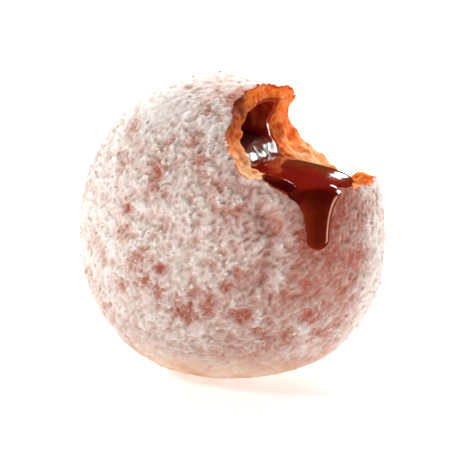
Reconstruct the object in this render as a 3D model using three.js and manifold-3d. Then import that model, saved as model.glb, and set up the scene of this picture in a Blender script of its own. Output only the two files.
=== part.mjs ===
// A jelly filled doughnut with a bite taken out of its upper right side.
//
// The doughnut stands on its rim, on a small flat spot. Its round front face looks along -Y,
// X runs across it, and Z is up. The origin is on the floor under the middle of the doughnut.
// All lengths are in millimetres.
import * as THREE from "three";
import { mergeVertices } from "three/addons/utils/BufferGeometryUtils.js";
import Module from "manifold-3d";

// The doughnut as a whole.
const RIM_RADIUS = 41.4;
const HALF_THICKNESS = 30;
const PLUMPNESS = 2.4; // 2 is an ellipsoid, more is squarer
const CENTRE_HEIGHT = 39.8; // the rim below this is pressed flat by the doughnut's weight
const SQUARENESS = 0.75; // the rim stands out this much at its four shoulders
const THREE_LOBES = 0.4;
const FIVE_LOBES = 0.3;
const HAND_SHAPED = 0.35; // low swells of dough shaped by hand
const HAND_SIZE = 34; // from one swell to the next

// The fold in the crust that runs down from the bite on the front face.
const FOLD_DEPTH = 1.2;
const FOLD_WIDTH = 2.8;
const FOLD = { x: 20, up: 3, bend: 0.035, top: 15, bottom: -15 };
const FOLD_FADE = { top: 6, bottom: 8 }; // over this length it comes up to the crust at each end
const FOLD_FRONT = { from: 5, to: 15 }; // how far in front of the middle it starts, and is whole

// The bite, a round-arched cut straight through the thickness. Places round its arch are in
// degrees from +X towards +Z, and from, to are distances towards the back.
const BITE_RADIUS = 20;
const BITE_X = 25.5;
const BITE_UP = 34.5; // above the doughnut's centre
const TOOTH_PITCH = THREE.MathUtils.degToRad(25);
const TOOTH_MARK = 0.7;
const MEAN_TOOTH = 0.64; // the mean of the teeth's |cos|, so that they don't change the radius
const CRUMB_SIZE = 6.8;
const CRUMB_RELIEF = 0.7;

// Dough left standing at the top of the bite, most of it at the back.
const TORN_LUMP = { height: 9, starts: 120, full: 150, falls: 160, ends: 214 };
const LUMP_FRONT = { share: 0.2, from: -9, to: 10 };

// The deeper tooth mark at the right end, and a small lump of crumb left standing behind it.
const CORNER_DIP = { depth: 3.4, at: 304, width: 14 };
const DIP_FRONT = { from: 1, to: 12, lost: 0.65 };
const CORNER_LUMP = { height: 3.2, at: 296, width: 6.5, y: 6.5, depth: 4.5 };

// The sag of the floor under the jelly's weight, and the lip of dough left in front of it.
const FLOOR_SAG = { depth: 0.8, at: 270, width: 30, from: 14, to: 22 };
const FRONT_LIP = { height: 2.2, at: 246, width: 14, from: 12, to: 20 };

// Towards the back the bite is tighter at its left and deeper at its right.
const BACK = { from: 4, to: 20, tighter: 1.3, deeper: 3.6, starts: 248, ends: 268 };

// The pocket that the baker's nozzle fills, half sizes. Its top leans towards the back.
const POCKET = { x: 4, y: -1.3, up: 14, halfX: 27, halfY: 15, halfUp: 22, power: 2.2, lean: 0.62 };
const LEAN_LEVEL = 28; // where the lean moves nothing
const LEAN_END = 20; // below this it grows no more

// The jelly. Its surface runs down to the right, and out of the pocket it drops in a shoulder.
const GAP = 0.35; // clearance between jelly and dough
const JELLY_COAT = 1.7; // what clings to the wall of the emptied hollow
const OVERFILL = 1.5; // the filling reaches past the pocket's wall before it is cut to the dough
const HOLLOW = { x: 5, y: 0, up: 27, halfX: 17, halfY: 15.5, halfUp: 12, power: 2.4, lean: 0.62 };
const SLOPE = THREE.MathUtils.degToRad(11);
const LEVEL = { x: 8, up: 21.7 }; // of that surface at the pocket's mouth
const SHOULDER = { height: 2.6, from: 5, to: 12.5 };
const CREEP = 1.9; // how softly the surface turns up where it meets the wall
const POOL = {
  x: 21.2, y: -8.3, up: 14.6, halfX: 14.2, halfY: 15.4, halfUp: 4.6, power: 3, slope: SLOPE,
};
const POOL_BEHIND_CRUST = 0.6; // the pool itself stops this far inside the face

// The drip from the pool over the bite's front lip and down the face.
const LIP = { x: 29.2, up: 14.6 };
const DRIP_RUN_UP = { x: -8.4, y: 10.6, up: 0.2 }; // from the lip back into the pool
const DRIP_MIDDLE = [
  { x: 29.7, up: 11.2 },
  { x: 30, up: 6.6 },
];
const DRIP_END = { x: 30.2, up: 0.6 };
const DRIP_NECK = 2.75; // half its width near the end
const DRIP_FLARE = 4.5; // how much wider each side is at the lip
const DRIP_FLARE_LENGTH = 3.8;
const DRIP_BULGE = 2.3; // how far it stands off the crust
const DRIP_FULLNESS = 1.9; // how soon its round ends reach their full width
const LIP_REACH = 4; // the lip's direction is taken over this length each way

// The bead of jelly that laps over the front lip, to the left of the drip.
const LAP = [
  { x: 15.9, up: 19.6 },
  { x: 18, up: 18.5 },
  { x: 20.4, up: 17.4 },
  { x: 22.6, up: 16.2 },
  { x: 24.8, up: 14.7 },
  { x: 27.5, up: 13.9 },
];
const LAP_RADIUS = 1.9;
const LAP_SUNK = new THREE.Vector3(0, 0.9, 0.1); // of its middle line, behind the crust

const COVER = 200; // the side of a block larger than the doughnut

// Mesh fineness.
const BODY_DETAIL = 13;
const POCKET_DETAIL = 9;
const POOL_DETAIL = 7;
const BITE_SIDES = 76;
const BITE_ROWS = 28;
const BITE_LENGTH = 76;
const DRIP_SIDES = 20;
const DRIP_ROWS = 22;
const LAP_SIDES = 14;
const LAP_ROWS = 16;
const SEAM = 0.04; // slivers thinner than this, left where two cuts meet, are closed up

const wasm = await Module();
wasm.setup();

// A bell curve, 1 at the middle and falling off over a width.
function bell(distance, width) {
  return Math.exp(-((distance / width) ** 2));
}

// A smooth step from 0 to 1 between two values.
function rise(value, from, to) {
  return THREE.MathUtils.smoothstep(value, from, to);
}

// Smooth unevenness between about -1 and 1, with swells of a given size.
function swells(x, y, z, size) {
  const k = (2 * Math.PI) / size;
  const first = Math.sin(k * (x + 0.31 * z) + 1.3) * Math.cos(k * (0.83 * y - 0.27 * x) + 0.4);
  const second = Math.sin(k * (0.71 * z + 0.45 * y) + 2.1) * Math.cos(k * (0.62 * x - 0.74 * z));
  const third = Math.sin(k * (1.27 * y - 0.36 * z) + 0.7) * Math.sin(k * (0.94 * z + 0.58 * x) + 4);
  return (first + second + third) / 1.7;
}

// The rim's distance from the doughnut's axis, round the axis from +X towards +Z.
function rimRadius(angle) {
  return (
    RIM_RADIUS -
    SQUARENESS * Math.cos(4 * angle) +
    THREE_LOBES * Math.cos(3 * angle + 1.1) -
    FIVE_LOBES * Math.cos(5 * angle)
  );
}

// How deep the fold is at a place on the front face.
function fold(x, y, up) {
  const middle = FOLD.x - FOLD.bend * (up - FOLD.up) ** 2;
  const lower = rise(up, FOLD.bottom, FOLD.bottom + FOLD_FADE.bottom);
  const upper = 1 - rise(up, FOLD.top - FOLD_FADE.top, FOLD.top);
  const front = rise(-y, FOLD_FRONT.from, FOLD_FRONT.to);
  return FOLD_DEPTH * bell(x - middle, FOLD_WIDTH) * lower * upper * front;
}

// The vertices of a geometry moved one by one, and joined where they fall together.
function shaped(geometry, move) {
  const position = geometry.getAttribute("position");
  const vertex = new THREE.Vector3();
  for (let i = 0; i < position.count; i += 1) {
    move(vertex.fromBufferAttribute(position, i));
    position.setXYZ(i, vertex.x, vertex.y, vertex.z);
  }
  geometry.deleteAttribute("normal");
  geometry.deleteAttribute("uv");
  return mergeVertices(geometry, 1e-4);
}

function solid(geometry) {
  return new wasm.Manifold(
    new wasm.Mesh({
      numProp: 3,
      vertProperties: new Float32Array(geometry.getAttribute("position").array),
      triVerts: new Uint32Array(geometry.index.array),
    }),
  );
}

// A rounded box-like form: half sizes along each axis, power 2 an ellipsoid. A slope tips it
// about Y, and a lean carries its upper part towards the back.
function plump(form, grow, detail) {
  const depthAxis = new THREE.Vector3(0, 1, 0);
  const ball = new THREE.IcosahedronGeometry(1, detail);
  return solid(
    shaped(ball, (v) => {
      const share =
        Math.abs(v.x / (form.halfX + grow)) ** form.power +
        Math.abs(v.y / (form.halfY + grow)) ** form.power +
        Math.abs(v.z / (form.halfUp + grow)) ** form.power;
      v.multiplyScalar(share ** (-1 / form.power));
      v.applyAxisAngle(depthAxis, form.slope ?? 0);
      v.add(new THREE.Vector3(form.x, form.y, form.up));
      v.y += (form.lean ?? 0) * (Math.max(v.z, LEAN_END) - LEAN_LEVEL);
    }),
  );
}

// The whole doughnut before the bite, about its own centre.
function wholeDoughnut(grow) {
  const ball = new THREE.IcosahedronGeometry(1, BODY_DETAIL);
  return solid(
    shaped(ball, (v) => {
      const outward = v.clone();
      const acrossShare = Math.hypot(v.x, v.z) / rimRadius(Math.atan2(v.z, v.x));
      const throughShare = Math.abs(v.y) / HALF_THICKNESS;
      v.multiplyScalar((acrossShare ** PLUMPNESS + throughShare ** PLUMPNESS) ** (-1 / PLUMPNESS));
      const relief = HAND_SHAPED * swells(v.x, v.y, v.z, HAND_SIZE) - fold(v.x, v.y, v.z);
      v.addScaledVector(outward, relief + grow);
    }),
  );
}

// How deep the tooth mark at the right end is, less the lump of crumb behind it.
function cornerRelief(degrees, y) {
  const inFront = 1 - DIP_FRONT.lost * rise(-y, DIP_FRONT.from, DIP_FRONT.to);
  const upToIt = Math.min(0, degrees - CORNER_DIP.at);
  const dip = CORNER_DIP.depth * bell(upToIt, CORNER_DIP.width) * inFront;
  const besideLump = bell(degrees - CORNER_LUMP.at, CORNER_LUMP.width);
  return dip - CORNER_LUMP.height * besideLump * bell(y - CORNER_LUMP.y, CORNER_LUMP.depth);
}

// How much further out than its plain arch the bite's wall is: teeth marks, the lump left
// standing, the corner, the sag, the front lip, the back, and torn crumb all over.
function biteRelief(turn, y) {
  const degrees = THREE.MathUtils.radToDeg(turn);
  const teeth = TOOTH_MARK * (Math.abs(Math.cos((Math.PI * turn) / TOOTH_PITCH)) - MEAN_TOOTH);
  const { starts, full, falls, ends } = TORN_LUMP;
  const stands = rise(degrees, starts, full) * (1 - rise(degrees, falls, ends));
  const toBack = rise(y, LUMP_FRONT.from, LUMP_FRONT.to);
  const lump = TORN_LUMP.height * stands * (LUMP_FRONT.share + (1 - LUMP_FRONT.share) * toBack);
  const between = 1 - rise(Math.abs(y), FLOOR_SAG.from, FLOOR_SAG.to);
  const sag = FLOOR_SAG.depth * bell(degrees - FLOOR_SAG.at, FLOOR_SAG.width) * between;
  const alongLip = bell(degrees - FRONT_LIP.at, FRONT_LIP.width);
  const lip = FRONT_LIP.height * alongLip * rise(-y, FRONT_LIP.from, FRONT_LIP.to);
  const toRight = rise(degrees, BACK.starts, BACK.ends);
  const back = rise(y, BACK.from, BACK.to) * (BACK.deeper * toRight - BACK.tighter);
  const x = BITE_RADIUS * Math.cos(turn);
  const z = BITE_RADIUS * Math.sin(turn);
  const crumb = CRUMB_RELIEF * swells(x, y, z, CRUMB_SIZE);
  return teeth - lump + cornerRelief(degrees, y) + sag - lip + back + crumb;
}

// What the bite took away.
function bite(grow) {
  const arch = new THREE.CylinderGeometry(1, 1, BITE_LENGTH, BITE_SIDES, BITE_ROWS);
  return solid(
    shaped(arch, (v) => {
      const edge = Math.hypot(v.x, v.z);
      const angle = Math.atan2(v.z, v.x);
      const turn = angle < 0 ? angle + 2 * Math.PI : angle;
      const radius = BITE_RADIUS + biteRelief(turn, v.y) + grow;
      v.x = BITE_X + edge * radius * Math.cos(turn);
      v.z = BITE_UP + edge * radius * Math.sin(turn);
    }),
  );
}

// The dough left by the bite and the pocket. A positive grow thickens it on every side.
function doughWalls(grow) {
  return wholeDoughnut(grow)
    .subtract(bite(-grow))
    .subtract(plump(POCKET, -grow, POCKET_DETAIL));
}

// A block that covers everything above a height.
function everythingAbove(up) {
  const block = new THREE.BoxGeometry(COVER, COVER, COVER);
  block.translate(0, 0, up + COVER / 2);
  return solid(shaped(block, () => {}));
}

// A point of the front face.
function onFace(x, up) {
  const rim = rimRadius(Math.atan2(up, x));
  const depth = HALF_THICKNESS * (1 - (Math.hypot(x, up) / rim) ** PLUMPNESS) ** (1 / PLUMPNESS);
  return new THREE.Vector3(x, -depth, up);
}

// The drip: a flat tongue out of the pool, over the lip, then down the face to a round end.
function drip() {
  const lip = onFace(LIP.x, LIP.up);
  const start = lip.clone().add(new THREE.Vector3(DRIP_RUN_UP.x, DRIP_RUN_UP.y, DRIP_RUN_UP.up));
  const down = [...DRIP_MIDDLE, DRIP_END].map((place) => onFace(place.x, place.up));
  const path = new THREE.CatmullRomCurve3([start, start.clone().lerp(lip, 0.6), lip, ...down]);
  const length = path.getLength();
  const toLip = start.distanceTo(lip);
  const alongLip = onFace(LIP.x + LIP_REACH, LIP.up).sub(onFace(LIP.x - LIP_REACH, LIP.up));
  const ball = new THREE.SphereGeometry(1, DRIP_SIDES, DRIP_ROWS);
  return solid(
    shaped(ball, (v) => {
      const along = (1 - v.y) / 2;
      const round = Math.min(1, DRIP_FULLNESS * Math.sqrt(Math.max(0, 1 - v.y * v.y)));
      const around = Math.atan2(v.z, v.x);
      const pastLip = Math.max(0, along * length - toLip);
      const half = DRIP_NECK + DRIP_FLARE * Math.exp(-pastLip / DRIP_FLARE_LENGTH);
      const tangent = path.getTangentAt(along);
      const across = alongLip.clone().addScaledVector(tangent, -alongLip.dot(tangent)).normalize();
      const outward = new THREE.Vector3().crossVectors(tangent, across);
      v.copy(path.getPointAt(along));
      v.addScaledVector(across, half * round * Math.cos(around));
      v.addScaledVector(outward, DRIP_BULGE * round * Math.sin(around));
    }),
  );
}

// The lapping bead: a round strand along the lip, whose ends taper to nothing.
function lap() {
  const path = new THREE.CatmullRomCurve3(LAP.map(({ x, up }) => onFace(x, up).add(LAP_SUNK)));
  const upward = new THREE.Vector3(0, 0, 1);
  const ball = new THREE.SphereGeometry(1, LAP_SIDES, LAP_ROWS);
  return solid(
    shaped(ball, (v) => {
      const along = (1 - v.y) / 2;
      const radius = LAP_RADIUS * Math.sqrt(Math.sin(Math.PI * along));
      const around = Math.atan2(v.z, v.x);
      const tangent = path.getTangentAt(along);
      const side = new THREE.Vector3().crossVectors(tangent, upward).normalize();
      const above = new THREE.Vector3().crossVectors(side, tangent);
      v.copy(path.getPointAt(along));
      v.addScaledVector(above, radius * Math.cos(around));
      v.addScaledVector(side, radius * Math.sin(around));
    }),
  );
}

// The emptied part of the pocket. Whatever of it is below the jelly's surface comes up to that
// surface, in a curve and not at a corner.
function air() {
  return plump(HOLLOW, 0, POCKET_DETAIL)
    .intersect(plump(POCKET, -GAP - JELLY_COAT, POCKET_DETAIL))
    .warp((v) => {
      const shoulder = SHOULDER.height * (1 - rise(v[0], SHOULDER.from, SHOULDER.to));
      const level = LEVEL.up - Math.tan(SLOPE) * (v[0] - LEVEL.x) + shoulder;
      v[2] = level + CREEP * Math.log1p(Math.exp((v[2] - level) / CREEP));
    });
}

// The jelly: what still fills the pocket, the pool at the bite, the lapping bead and the drip.
function jelly() {
  const filling = plump(POCKET, OVERFILL, POCKET_DETAIL).subtract(bite(0)).subtract(air());
  const pool = plump(POOL, 0, POOL_DETAIL).intersect(wholeDoughnut(-POOL_BEHIND_CRUST));
  return filling.add(pool).add(lap()).add(drip()).subtract(doughWalls(GAP));
}

// A solid, set on the floor, as a named mesh with its own material.
function piece(name, form, material) {
  const made = form.translate([0, 0, CENTRE_HEIGHT]).simplify(SEAM).getMesh();
  const geometry = new THREE.BufferGeometry();
  geometry.setAttribute("position", new THREE.BufferAttribute(made.vertProperties, 3));
  geometry.setIndex(new THREE.BufferAttribute(made.triVerts, 1));
  geometry.computeVertexNormals();
  const mesh = new THREE.Mesh(geometry, new THREE.MeshStandardMaterial(material));
  mesh.name = name;
  return mesh;
}

const doughnut = new THREE.Group();
const standing = doughWalls(0).intersect(everythingAbove(-CENTRE_HEIGHT));
doughnut.add(piece("dough", standing, { color: "#e6d2c8", roughness: 0.9, metalness: 0 }));
doughnut.add(piece("jelly_filling", jelly(), { color: "#5c0c08", roughness: 0.12, metalness: 0 }));

export default doughnut;
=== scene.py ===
# %% [markdown]
# # A jelly filled doughnut with a bite taken out
#
# The doughnut stands on its rim with its round face to the front. Three things make the look:
# fried dough under a caked coat of powdered sugar, the torn orange crumb of the bite, and the
# wet dark jelly that fills the pocket, pools on the bite's floor and runs down the face.
# All of it is real mesh, shaped in millimetres about the doughnut's own centre, because the
# light rakes across the sugar and only true relief catches it.

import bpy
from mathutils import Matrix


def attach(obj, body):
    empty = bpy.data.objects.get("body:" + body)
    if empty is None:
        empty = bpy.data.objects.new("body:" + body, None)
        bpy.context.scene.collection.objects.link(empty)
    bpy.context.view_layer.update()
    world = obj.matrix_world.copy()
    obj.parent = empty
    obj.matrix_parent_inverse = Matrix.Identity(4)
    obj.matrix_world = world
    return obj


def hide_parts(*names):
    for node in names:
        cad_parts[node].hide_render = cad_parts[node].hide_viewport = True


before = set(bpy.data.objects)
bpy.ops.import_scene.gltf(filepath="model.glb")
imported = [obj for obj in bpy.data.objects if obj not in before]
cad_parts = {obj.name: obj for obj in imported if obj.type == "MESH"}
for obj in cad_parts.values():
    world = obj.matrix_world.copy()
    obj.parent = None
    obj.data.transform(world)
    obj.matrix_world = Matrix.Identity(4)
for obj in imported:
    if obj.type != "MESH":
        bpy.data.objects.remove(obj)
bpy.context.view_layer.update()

# %% Tools
import itertools
import math

import bpy
import numpy as np
from mathutils import Vector
from mathutils.bvhtree import BVHTree

MM = 0.001
CENTRE_HEIGHT = 39.8  # of the doughnut's centre above the floor
SEED = 11

# %% [markdown]
# ## Numbers that shape everything
#
# These are the doughnut's measures, the same as those of the solid model: a squarish round
# outline, a plump cross-section, a fold down the face, and the bite's arch with its teeth marks.

# %% The doughnut's measures in millimetres
RIM_RADIUS, HALF_THICKNESS, PLUMPNESS = 41.4, 30.0, 2.4
SQUARENESS, THREE_LOBES, FIVE_LOBES = 0.75, 0.4, 0.3
HAND_SHAPED, HAND_SIZE = 0.35, 34.0
FOLD = dict(depth=1.2, width=2.8, x=20.0, up=3.0, bend=0.035, top=15.0, bottom=-15.0,
            fades_in=8.0, fades_out=6.0)
ON_FACE = 5.0, 15.0  # in front of the middle, where the marks of the face alone begin
BITE = dict(radius=20.0, x=25.5, up=34.5, tooth=0.7, pitch=math.radians(25))
POCKET = dict(at=(4.0, -1.3, 14.0), half=(27.0, 15.0, 22.0), power=2.2, lean=0.62)
HOLLOW = dict(at=(5.0, 0.0, 27.0), half=(17.0, 15.5, 12.0), power=2.4, lean=0.62)
SLOPE = math.radians(11)  # the jelly's surface runs down to the right
POOL = dict(at=(21.2, -8.3, 14.6), half=(14.2, 15.4, 4.6), power=3.0, slope=SLOPE)
LEVEL = (8.0, 21.7)  # of that surface at the pocket's mouth, across and up
SHOULDER = dict(height=2.6, starts=5.0, ends=12.5)
LEAN_LEVEL, LEAN_END = 28.0, 20.0  # where the lean moves nothing, and below which it grows no more


def bell(distance, width):
    """1 at the middle, falling off over a width."""
    return np.exp(-((distance / width) ** 2))


def rise(value, start, end):
    """A smooth step from 0 to 1."""
    t = np.clip((value - start) / (end - start), 0, 1)
    return t * t * (3 - 2 * t)


def swells(x, y, z, size):
    """Smooth unevenness between about -1 and 1. Its odd factors keep the waves from lining up."""
    k = 2 * math.pi / size
    first = np.sin(k * (x + 0.31 * z) + 1.3) * np.cos(k * (0.83 * y - 0.27 * x) + 0.4)
    second = np.sin(k * (0.71 * z + 0.45 * y) + 2.1) * np.cos(k * (0.62 * x - 0.74 * z))
    third = np.sin(k * (1.27 * y - 0.36 * z) + 0.7) * np.sin(k * (0.94 * z + 0.58 * x) + 4)
    return (first + second + third) / 1.7


# %% [markdown]
# ## Randomness that repeats
#
# Sugar and crumb need two kinds of randomness: smooth noise for patches, and cells, which are
# rounded lumps with creases between them. Both hash the whole numbers of a grid, so each run
# gives the same doughnut.

# %% Noise and cells
PRIMES = np.array((0x9E3779B97F4A7C15, 0xC2B2AE3D27D4EB4F, 0x165667B19E3779F9), np.uint64)


def chance(cell, seed):
    """A random number from 0 to 1 for each whole-numbered cell. The shifts only scramble bits."""
    mixed = cell.astype(np.uint64) * PRIMES
    mixed = mixed[:, 0] ^ mixed[:, 1] ^ mixed[:, 2] ^ np.uint64(seed * 7919 + 1)
    mixed = (mixed ^ (mixed >> np.uint64(29))) * PRIMES[1]
    mixed = (mixed ^ (mixed >> np.uint64(32))) * PRIMES[2]
    return (mixed >> np.uint64(40)).astype(float) / 2**24


def noise(points, seed=0):
    """Smooth noise between -1 and 1, with one swell to each unit of length."""
    cell = np.floor(points)
    part = points - cell
    part = part * part * (3 - 2 * part)
    cell = cell.astype(np.int64)
    total = np.zeros(len(points))
    for corner in itertools.product((0, 1), repeat=3):
        share = np.prod(np.where(np.array(corner) == 1, part, 1 - part), axis=1)
        total += share * chance(cell + np.array(corner), seed)
    return 2 * total - 1


def cloud(points, octaves, seed=0):
    """Noise with finer and weaker noise on top."""
    layers = [noise(points * 2**i, seed + i) / 2**i for i in range(octaves)]
    return sum(layers) / sum(1 / 2**i for i in range(octaves))


def cells(points, seed=0):
    """How far each point is from its lump's middle, and that lump's own random number."""
    home = np.floor(points).astype(np.int64)
    nearest = np.full(len(points), 9.0)
    own = np.zeros(len(points))
    for offset in itertools.product((-1, 0, 1), repeat=3):
        cell = home + np.array(offset)
        middle = np.stack([chance(cell, seed + i) for i in range(3)], axis=1) + cell
        distance = np.linalg.norm(middle - points, axis=1)
        own = np.where(distance < nearest, chance(cell, seed + 3), own)
        nearest = np.minimum(nearest, distance)
    return nearest, own


# %% Meshes from arrays
def make_piece(name, points, faces):
    """A smooth-shaded mesh from points in millimetres about the doughnut's centre."""
    mesh = bpy.data.meshes.new(name)
    lifted = (points + np.array((0, 0, CENTRE_HEIGHT))) * MM
    mesh.from_pydata(lifted.tolist(), [], faces.tolist())
    mesh.shade_smooth()
    piece = bpy.data.objects.new(name, mesh)
    bpy.context.scene.collection.objects.link(piece)
    return piece


def points_of(piece):
    """A piece's points, in millimetres about the doughnut's centre."""
    flat = np.empty(len(piece.data.vertices) * 3, np.float32)
    piece.data.vertices.foreach_get("co", flat)
    return flat.reshape(-1, 3).astype(float) / MM - np.array((0, 0, CENTRE_HEIGHT))


def normals_of(piece):
    """The way the surface faces at each of a piece's points."""
    flat = np.empty(len(piece.data.vertices) * 3, np.float32)
    piece.data.vertex_normals.foreach_get("vector", flat)
    return flat.reshape(-1, 3).astype(float)


def move_points(piece, points):
    """Gives a piece's points new places, in millimetres about the doughnut's centre."""
    lifted = ((points + np.array((0, 0, CENTRE_HEIGHT))) * MM).astype(np.float32)
    piece.data.vertices.foreach_set("co", lifted.ravel())
    piece.data.update()


def applied(piece, kind, **settings):
    """Adds a modifier, applies it at once, and keeps the result as the piece's mesh."""
    modifier = piece.modifiers.new(kind.title(), kind)
    for name, value in settings.items():
        setattr(modifier, name, value)
    result = bpy.data.meshes.new_from_object(
        piece.evaluated_get(bpy.context.evaluated_depsgraph_get())
    )
    piece.modifiers.clear()
    piece.data = result
    piece.data.name = piece.name
    return piece


def combine(piece, other, operation):
    """A Boolean that uses the other piece up."""
    applied(piece, "BOOLEAN", object=other, operation=operation, solver="MANIFOLD")
    bpy.data.objects.remove(other)
    return piece


def paint(piece, name, values):
    """Stores a number from 0 to 1 at each vertex, for a material to read."""
    layer = piece.data.attributes.new(name, "FLOAT", "POINT")
    layer.data.foreach_set("value", np.clip(values, 0, 1).astype(np.float32))


# %% [markdown]
# ## The ball everything starts from
#
# A ball of even triangles has no poles, so relief looks the same all over it. Each side of an
# icosahedron's twenty triangles is cut into equal steps. A pull towards the front gives the
# front face the finer triangles.

# %% A ball of even triangles
def ball(steps, pull=0.0):
    """Unit directions and triangles, 20 * steps * steps of them."""
    g = (1 + math.sqrt(5)) / 2
    corners = [(-1, g, 0), (1, g, 0), (-1, -g, 0), (1, -g, 0), (0, -1, g), (0, 1, g),
               (0, -1, -g), (0, 1, -g), (g, 0, -1), (g, 0, 1), (-g, 0, -1), (-g, 0, 1)]
    sides = [(0, 11, 5), (0, 5, 1), (0, 1, 7), (0, 7, 10), (0, 10, 11), (1, 5, 9), (5, 11, 4),
             (11, 10, 2), (10, 7, 6), (7, 1, 8), (3, 9, 4), (3, 4, 2), (3, 2, 6), (3, 6, 8),
             (3, 8, 9), (4, 9, 5), (2, 4, 11), (6, 2, 10), (8, 6, 7), (9, 8, 1)]
    corners = np.array(corners) / math.hypot(1, g)
    grid = [(i, j) for i in range(steps + 1) for j in range(steps + 1 - i)]
    place = {ij: n for n, ij in enumerate(grid)}
    weights = np.array([(steps - i - j, i, j) for i, j in grid]) / steps
    local = [(place[i, j], place[i + 1, j], place[i, j + 1])
             for i in range(steps) for j in range(steps - i)]
    local += [(place[i + 1, j], place[i + 1, j + 1], place[i, j + 1])
              for i in range(steps - 1) for j in range(steps - 1 - i)]
    points = np.concatenate([weights @ corners[list(side)] for side in sides])
    faces = np.concatenate([np.array(local) + n * len(grid) for n in range(20)])
    points /= np.linalg.norm(points, axis=1)[:, None]
    _, first, merged = np.unique(
        np.round(points, 6), axis=0, return_index=True, return_inverse=True
    )
    points, faces = points[first], merged.reshape(-1)[faces]
    points[:, 1] -= pull * (1 - points[:, 1] ** 2)
    return points / np.linalg.norm(points, axis=1)[:, None], faces


# %% [markdown]
# ## The doughnut's plain form
#
# A squeezed ball: round seen from the front, plumper than an ellipsoid, with slightly squared
# shoulders and the low swells of dough shaped by hand. A fold runs down the face from the bite.

# %% The plain form
def rim_radius(angle):
    """How far the rim is from the middle, at an angle round the face."""
    lobes = THREE_LOBES * np.cos(3 * angle + 1.1) - FIVE_LOBES * np.cos(5 * angle)
    return RIM_RADIUS - SQUARENESS * np.cos(4 * angle) + lobes


def fold_at(x, y, up):
    """How deep the fold is. It bends like a bow, and fades out at both ends."""
    middle = FOLD["x"] - FOLD["bend"] * (up - FOLD["up"]) ** 2
    lower = rise(up, FOLD["bottom"], FOLD["bottom"] + FOLD["fades_in"])
    upper = 1 - rise(up, FOLD["top"] - FOLD["fades_out"], FOLD["top"])
    return FOLD["depth"] * bell(x - middle, FOLD["width"]) * lower * upper * rise(-y, *ON_FACE)


def plain_form(out):
    """Where the plain crust is in each direction from the middle."""
    across = np.hypot(out[:, 0], out[:, 2]) / rim_radius(np.arctan2(out[:, 2], out[:, 0]))
    through = np.abs(out[:, 1]) / HALF_THICKNESS
    return out * ((across**PLUMPNESS + through**PLUMPNESS) ** (-1 / PLUMPNESS))[:, None]


# %% [markdown]
# ## Powdered sugar, caked by the damp crust
#
# Fine sugar takes up moisture from the warm crust and cakes into a crumpled coat, drawn into
# short rounded ridges where the doughnut was rolled in it. In patches it has worn away speck by
# speck and shows the fried crust, and underneath, where the doughnut sat on its tray, it thins
# out over the pale belly. Relief and colour come from one function, so that each hollow shows
# crust, painted darker partly as shade, and each ridge stays white. Some sides of the coat are
# painted lighter as light, others darker as shade.

# %% Where the sugar lies
ROLLED = np.array((0.72, 0.1, 0.69))  # the way the short ridges run
# Millimetres from swell to swell is twice each size.
RIDGE, CRUMPLE, GRAIN, CAKE = 1.05, 0.7, 0.45, 2.7
RIDGE_HEIGHT, CRUMPLE_HEIGHT, GRAIN_HEIGHT, CAKE_HEIGHT = 0.36, 0.5, 0.08, 0.5
RIDGE_SHARPNESS = 3.2  # more makes narrower ridges
DRAWN_OUT = 0.5  # more stretches them along their way
BENT, BENT_SIZE = 0.9, 3.0  # how far they bend aside, and over what length
SPECK_SIZE, SPECK_DEPTH = 0.42, 0.1
# Worn patches on the face: across, up, radius.
WORN = [(-16.2, -3.6, 3.4), (-9.6, -5.0, 2.0), (-14.1, -9.3, 2.4), (-10.0, -12.6, 2.4),
        (-3.0, -16.6, 4.4), (3.0, -14.5, 3.0), (8.3, -8.9, 1.6), (-10.9, 20.3, 2.6),
        (-11.0, 14.9, 3.2), (0.3, 23.0, 2.6), (-1.8, 27.9, 2.8), (-20.1, 29.3, 2.6),
        (-0.6, 34.6, 3.2), (-19.3, 9.0, 3.2), (28.1, -16.5, 2.4), (29.8, -21.6, 2.6),
        (38.4, -2.4, 2.6), (11.8, -15.8, 2.6), (-19.5, 2.8, 3.0), (-21.0, -12.0, 2.4)]
RAGGED, RAGGED_SIZE = 0.8, 2.4  # how uneven a worn patch's edge is
FAINT_WEAR, FAINT_SIZE = 0.55, 5.5  # between those patches
BELLY_TOP, BELLY_EDGE = 24.0, 12.0  # where the powder starts to thin, and over what height
BELLY_RAGGED, BELLY_RAGGED_SIZE = 2.2, 6.0
CREASE = dict(depth=0.7, width=1.3, x=19.4, up=4.0, bend=0.02, wanders=3.2, size=7.0)


def worn_away(spot):
    """1 in the middle of a worn patch."""
    x, y, up = spot.T
    ragged = 1 + RAGGED * cloud(spot / RAGGED_SIZE, 2, SEED + 5)
    worn = FAINT_WEAR * rise(cloud(spot / FAINT_SIZE, 2, SEED), 0.12, 0.5)
    for at_x, at_up, radius in WORN:
        near = bell(np.hypot(x - at_x, up - at_up), radius * ragged) * rise(-y, 2, 9)
        worn = np.maximum(worn, near)
    return worn


def belly_of(spot):
    """1 on the bare underside."""
    up = spot[:, 2] + BELLY_RAGGED * cloud(spot / BELLY_RAGGED_SIZE, 2, SEED + 7)
    return rise(-up, BELLY_TOP, BELLY_TOP + BELLY_EDGE)


def smooth_side(spot):
    """1 on the smoother dough to the right of the fold, below the drip."""
    x, y, up = spot.T
    middle = FOLD["x"] + 3 - 0.02 * (up - FOLD["up"]) ** 2
    right = rise(x, middle, middle + 4) * (1 - rise(x, 34, 40))
    return right * rise(-y, 4, 12) * rise(up, -24, -10)


def crease_at(spot):
    """How deep the narrow crease along the fold is. It wanders, and fades out at both ends."""
    x, y, up = spot.T
    middle = CREASE["x"] - CREASE["bend"] * (up - CREASE["up"]) ** 2
    middle = middle + CREASE["wanders"] * cloud(spot / CREASE["size"], 2, SEED + 70)
    ends = rise(up, -14, -4) * (1 - rise(up, 8, 14))
    return CREASE["depth"] * bell(x - middle, CREASE["width"]) * ends * rise(-y, *ON_FACE)


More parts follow.
